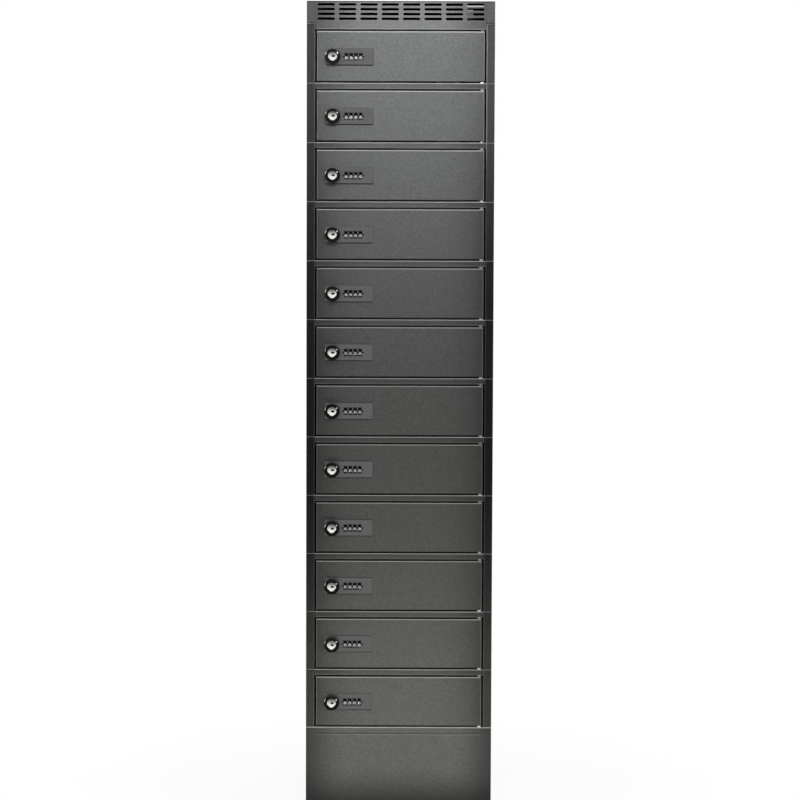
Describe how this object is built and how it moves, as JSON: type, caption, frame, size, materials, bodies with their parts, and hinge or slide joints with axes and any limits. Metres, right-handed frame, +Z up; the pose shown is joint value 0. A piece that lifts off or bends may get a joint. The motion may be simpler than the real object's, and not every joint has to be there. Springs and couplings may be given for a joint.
{
  "type": "laptop charging locker",
  "caption": "Tall free-standing steel locker tower for charging laptops: a column of low bays, each with a hinged door, combination knob lock and socket, between a plinth and a vented cap.",
  "frame": {"origin": "on the floor, under the middle of the tower's bounding box", "axes": "+Z up, +X to the right as seen from the front, the doors face -Y"},
  "size_m": [0.44, 0.5206, 1.8908],
  "materials": {
    "door_paint": "fine-textured dark grey powder coat",
    "body_paint": "semi-matt near-black powder coat",
    "lock_plate": "moulded grey, satin",
    "knob_black": "moulded black",
    "dial_black": "moulded black with white numbers",
    "white_nylon": "natural white nylon",
    "outlet_plastic": "moulded off-white",
    "strip_aluminium": "extruded, satin",
    "foot_zinc": "zinc plated, rubber-faced pad",
    "screw_zinc": "black zinc plated"
  },
  "bodies": {
    "root": {"side_walls": "body_paint", "bay_decks": "body_paint", "front_rails": "door_paint", "bay_backs": "body_paint", "hinge_pivots": "white_nylon", "vent_cap": "door_paint", "plinth": "door_paint", "rear_covers": "body_paint", "socket_outlets": "outlet_plastic", "power_supply": "strip_aluminium", "levelling_feet": "foot_zinc", "cover_screws": "screw_zinc"},
    "door_01": {"door_01": "door_paint", "lock_housing_01": "lock_plate"},
    "knob_01": {"knob_01": "knob_black"},
    "dials_01": {"dials_01": "dial_black"},
    "door_02": {"door_02": "door_paint", "lock_housing_02": "lock_plate"},
    "knob_02": {"knob_02": "knob_black"},
    "dials_02": {"dials_02": "dial_black"},
    "door_03": {"door_03": "door_paint", "lock_housing_03": "lock_plate"},
    "knob_03": {"knob_03": "knob_black"},
    "dials_03": {"dials_03": "dial_black"},
    "door_04": {"door_04": "door_paint", "lock_housing_04": "lock_plate"},
    "knob_04": {"knob_04": "knob_black"},
    "dials_04": {"dials_04": "dial_black"},
    "door_05": {"door_05": "door_paint", "lock_housing_05": "lock_plate"},
    "knob_05": {"knob_05": "knob_black"},
    "dials_05": {"dials_05": "dial_black"},
    "door_06": {"door_06": "door_paint", "lock_housing_06": "lock_plate"},
    "knob_06": {"knob_06": "knob_black"},
    "dials_06": {"dials_06": "dial_black"},
    "door_07": {"door_07": "door_paint", "lock_housing_07": "lock_plate"},
    "knob_07": {"knob_07": "knob_black"},
    "dials_07": {"dials_07": "dial_black"},
    "door_08": {"door_08": "door_paint", "lock_housing_08": "lock_plate"},
    "knob_08": {"knob_08": "knob_black"},
    "dials_08": {"dials_08": "dial_black"},
    "door_09": {"door_09": "door_paint", "lock_housing_09": "lock_plate"},
    "knob_09": {"knob_09": "knob_black"},
    "dials_09": {"dials_09": "dial_black"},
    "door_10": {"door_10": "door_paint", "lock_housing_10": "lock_plate"},
    "knob_10": {"knob_10": "knob_black"},
    "dials_10": {"dials_10": "dial_black"},
    "door_11": {"door_11": "door_paint", "lock_housing_11": "lock_plate"},
    "knob_11": {"knob_11": "knob_black"},
    "dials_11": {"dials_11": "dial_black"},
    "door_12": {"door_12": "door_paint", "lock_housing_12": "lock_plate"},
    "knob_12": {"knob_12": "knob_black"},
    "dials_12": {"dials_12": "dial_black"}
  },
  "joints": [
    {"name": "door_01_hinge", "type": "hinge", "parent": "root", "child": "door_01", "pos_m": [0.1904, -0.23595, 1.7037], "axis": [0, 0, 1], "range_deg": [0, 105]},
    {"name": "knob_01_turn", "type": "hinge", "parent": "door_01", "child": "knob_01", "pos_m": [-0.159, -0.24195, 1.76055], "axis": [0, 1, 0], "range_deg": [0, 90]},
    {"name": "dials_01_turn", "type": "hinge", "parent": "door_01", "child": "dials_01", "pos_m": [-0.1272, -0.23435, 1.76055], "axis": [1, 0, 0], "continuous": true},
    {"name": "door_02_hinge", "type": "hinge", "parent": "root", "child": "door_02", "pos_m": [0.1904, -0.23595, 1.5655], "axis": [0, 0, 1], "range_deg": [0, 105]},
    {"name": "knob_02_turn", "type": "hinge", "parent": "door_02", "child": "knob_02", "pos_m": [-0.159, -0.24195, 1.62235], "axis": [0, 1, 0], "range_deg": [0, 90]},
    {"name": "dials_02_turn", "type": "hinge", "parent": "door_02", "child": "dials_02", "pos_m": [-0.1272, -0.23435, 1.62235], "axis": [1, 0, 0], "continuous": true},
    {"name": "door_03_hinge", "type": "hinge", "parent": "root", "child": "door_03", "pos_m": [0.1904, -0.23595, 1.4273], "axis": [0, 0, 1], "range_deg": [0, 105]},
    {"name": "knob_03_turn", "type": "hinge", "parent": "door_03", "child": "knob_03", "pos_m": [-0.159, -0.24195, 1.48415], "axis": [0, 1, 0], "range_deg": [0, 90]},
    {"name": "dials_03_turn", "type": "hinge", "parent": "door_03", "child": "dials_03", "pos_m": [-0.1272, -0.23435, 1.48415], "axis": [1, 0, 0], "continuous": true},
    {"name": "door_04_hinge", "type": "hinge", "parent": "root", "child": "door_04", "pos_m": [0.1904, -0.23595, 1.2891], "axis": [0, 0, 1], "range_deg": [0, 105]},
    {"name": "knob_04_turn", "type": "hinge", "parent": "door_04", "child": "knob_04", "pos_m": [-0.159, -0.24195, 1.34595], "axis": [0, 1, 0], "range_deg": [0, 90]},
    {"name": "dials_04_turn", "type": "hinge", "parent": "door_04", "child": "dials_04", "pos_m": [-0.1272, -0.23435, 1.34595], "axis": [1, 0, 0], "continuous": true},
    {"name": "door_05_hinge", "type": "hinge", "parent": "root", "child": "door_05", "pos_m": [0.1904, -0.23595, 1.1509], "axis": [0, 0, 1], "range_deg": [0, 105]},
    {"name": "knob_05_turn", "type": "hinge", "parent": "door_05", "child": "knob_05", "pos_m": [-0.159, -0.24195, 1.20775], "axis": [0, 1, 0], "range_deg": [0, 90]},
    {"name": "dials_05_turn", "type": "hinge", "parent": "door_05", "child": "dials_05", "pos_m": [-0.1272, -0.23435, 1.20775], "axis": [1, 0, 0], "continuous": true},
    {"name": "door_06_hinge", "type": "hinge", "parent": "root", "child": "door_06", "pos_m": [0.1904, -0.23595, 1.0127], "axis": [0, 0, 1], "range_deg": [0, 105]},
    {"name": "knob_06_turn", "type": "hinge", "parent": "door_06", "child": "knob_06", "pos_m": [-0.159, -0.24195, 1.06955], "axis": [0, 1, 0], "range_deg": [0, 90]},
    {"name": "dials_06_turn", "type": "hinge", "parent": "door_06", "child": "dials_06", "pos_m": [-0.1272, -0.23435, 1.06955], "axis": [1, 0, 0], "continuous": true},
    {"name": "door_07_hinge", "type": "hinge", "parent": "root", "child": "door_07", "pos_m": [0.1904, -0.23595, 0.8745], "axis": [0, 0, 1], "range_deg": [0, 105]},
    {"name": "knob_07_turn", "type": "hinge", "parent": "door_07", "child": "knob_07", "pos_m": [-0.159, -0.24195, 0.93135], "axis": [0, 1, 0], "range_deg": [0, 90]},
    {"name": "dials_07_turn", "type": "hinge", "parent": "door_07", "child": "dials_07", "pos_m": [-0.1272, -0.23435, 0.93135], "axis": [1, 0, 0], "continuous": true},
    {"name": "door_08_hinge", "type": "hinge", "parent": "root", "child": "door_08", "pos_m": [0.1904, -0.23595, 0.7363], "axis": [0, 0, 1], "range_deg": [0, 105]},
    {"name": "knob_08_turn", "type": "hinge", "parent": "door_08", "child": "knob_08", "pos_m": [-0.159, -0.24195, 0.79315], "axis": [0, 1, 0], "range_deg": [0, 90]},
    {"name": "dials_08_turn", "type": "hinge", "parent": "door_08", "child": "dials_08", "pos_m": [-0.1272, -0.23435, 0.79315], "axis": [1, 0, 0], "continuous": true},
    {"name": "door_09_hinge", "type": "hinge", "parent": "root", "child": "door_09", "pos_m": [0.1904, -0.23595, 0.5981], "axis": [0, 0, 1], "range_deg": [0, 105]},
    {"name": "knob_09_turn", "type": "hinge", "parent": "door_09", "child": "knob_09", "pos_m": [-0.159, -0.24195, 0.65495], "axis": [0, 1, 0], "range_deg": [0, 90]},
    {"name": "dials_09_turn", "type": "hinge", "parent": "door_09", "child": "dials_09", "pos_m": [-0.1272, -0.23435, 0.65495], "axis": [1, 0, 0], "continuous": true},
    {"name": "door_10_hinge", "type": "hinge", "parent": "root", "child": "door_10", "pos_m": [0.1904, -0.23595, 0.4599], "axis": [0, 0, 1], "range_deg": [0, 105]},
    {"name": "knob_10_turn", "type": "hinge", "parent": "door_10", "child": "knob_10", "pos_m": [-0.159, -0.24195, 0.51675], "axis": [0, 1, 0], "range_deg": [0, 90]},
    {"name": "dials_10_turn", "type": "hinge", "parent": "door_10", "child": "dials_10", "pos_m": [-0.1272, -0.23435, 0.51675], "axis": [1, 0, 0], "continuous": true},
    {"name": "door_11_hinge", "type": "hinge", "parent": "root", "child": "door_11", "pos_m": [0.1904, -0.23595, 0.3217], "axis": [0, 0, 1], "range_deg": [0, 105]},
    {"name": "knob_11_turn", "type": "hinge", "parent": "door_11", "child": "knob_11", "pos_m": [-0.159, -0.24195, 0.37855], "axis": [0, 1, 0], "range_deg": [0, 90]},
    {"name": "dials_11_turn", "type": "hinge", "parent": "door_11", "child": "dials_11", "pos_m": [-0.1272, -0.23435, 0.37855], "axis": [1, 0, 0], "continuous": true},
    {"name": "door_12_hinge", "type": "hinge", "parent": "root", "child": "door_12", "pos_m": [0.1904, -0.23595, 0.1835], "axis": [0, 0, 1], "range_deg": [0, 105]},
    {"name": "knob_12_turn", "type": "hinge", "parent": "door_12", "child": "knob_12", "pos_m": [-0.159, -0.24195, 0.24035], "axis": [0, 1, 0], "range_deg": [0, 90]},
    {"name": "dials_12_turn", "type": "hinge", "parent": "door_12", "child": "dials_12", "pos_m": [-0.1272, -0.23435, 0.24035], "axis": [1, 0, 0], "continuous": true}
  ]
}
